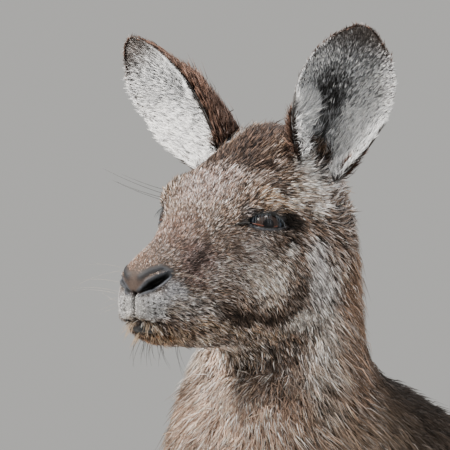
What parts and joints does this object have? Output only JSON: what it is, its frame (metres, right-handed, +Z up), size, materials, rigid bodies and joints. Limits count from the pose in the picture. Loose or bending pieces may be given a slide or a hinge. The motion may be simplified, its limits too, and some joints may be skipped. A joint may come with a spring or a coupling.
{
  "type": "kangaroo, still model",
  "caption": "Life-size still model of a female grey kangaroo in a relaxed crouch on its long hind feet and tail, head up, eyes half closed, ears spread.",
  "frame": {"origin": "on the floor, under the middle of the animal's own box", "axes": "-Y the way the animal faces, +X its left side, +Z up"},
  "size_m": [0.3174, 1.2896, 0.9375],
  "materials": {
    "grey_fur": "matte",
    "pale_fur": "matte",
    "dark_fur": "matte",
    "ear_fur": "matte",
    "skin": "satin",
    "eye": "gloss",
    "claw": "satin"
  },
  "bodies": {
    "root": {"belly": "pale_fur", "chest": "pale_fur", "claw_foot_left_fifth": "claw", "claw_foot_left_fourth": "claw", "claw_foot_left_second": "claw", "claw_foot_left_third": "claw", "claw_foot_right_fifth": "claw", "claw_foot_right_fourth": "claw", "claw_foot_right_second": "claw", "claw_foot_right_third": "claw", "claw_hand_left_1": "claw", "claw_hand_left_2": "claw", "claw_hand_left_3": "claw", "claw_hand_left_4": "claw", "claw_hand_left_5": "claw", "claw_hand_right_1": "claw", "claw_hand_right_2": "claw", "claw_hand_right_3": "claw", "claw_hand_right_4": "claw", "claw_hand_right_5": "claw", "ear_left": "ear_fur", "ear_right": "ear_fur", "eye_left": "eye", "eye_right": "eye", "foot_left": "dark_fur", "foot_right": "dark_fur", "forearm_left": "grey_fur", "forearm_right": "grey_fur", "hand_left": "dark_fur", "hand_right": "dark_fur", "head": "grey_fur", "lower_jaw": "pale_fur", "neck": "pale_fur", "rump": "grey_fur", "shank_left": "grey_fur", "shank_right": "grey_fur", "tail_1": "grey_fur", "tail_2": "grey_fur", "tail_3": "grey_fur", "tail_4": "grey_fur", "thigh_left": "grey_fur", "thigh_right": "grey_fur", "upper_arm_left": "grey_fur", "upper_arm_right": "grey_fur"}
  },
  "joints": []
}
